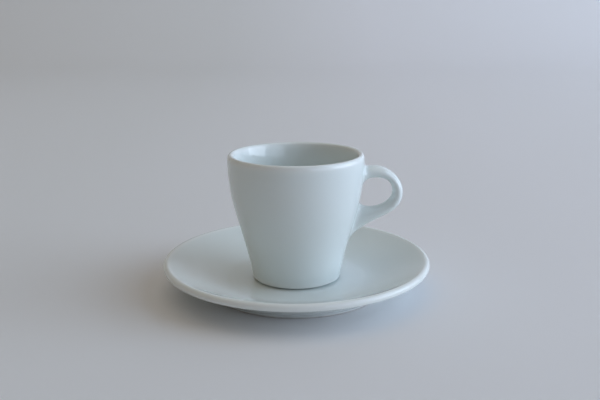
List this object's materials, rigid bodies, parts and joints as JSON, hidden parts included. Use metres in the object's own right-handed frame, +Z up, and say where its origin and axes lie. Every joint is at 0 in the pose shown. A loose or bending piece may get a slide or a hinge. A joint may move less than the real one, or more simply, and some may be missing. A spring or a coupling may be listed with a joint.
{
  "type": "espresso cup with saucer",
  "caption": "Small tapered porcelain coffee cup with an ear handle, standing on the level well of a round saucer with a rolled rim.",
  "frame": {"origin": "centre of the saucer's foot ring, on the surface that the saucer stands on", "axes": "+Z up, out of the cup's mouth; +X towards the handle; +Y completes a right-handed frame and the object mirrors across the XZ plane"},
  "size_m": [0.12, 0.12, 0.062],
  "materials": {
    "white_glaze": "gloss"
  },
  "bodies": {
    "saucer": {"saucer": "white_glaze"},
    "cup": {"cup_body": "white_glaze", "cup_handle": "white_glaze"}
  },
  "joints": [
    {"name": "cup_lift", "type": "slide", "parent": "saucer", "child": "cup", "axis": [0, 0, 1], "range_m": [0, 0.1]}
  ]
}
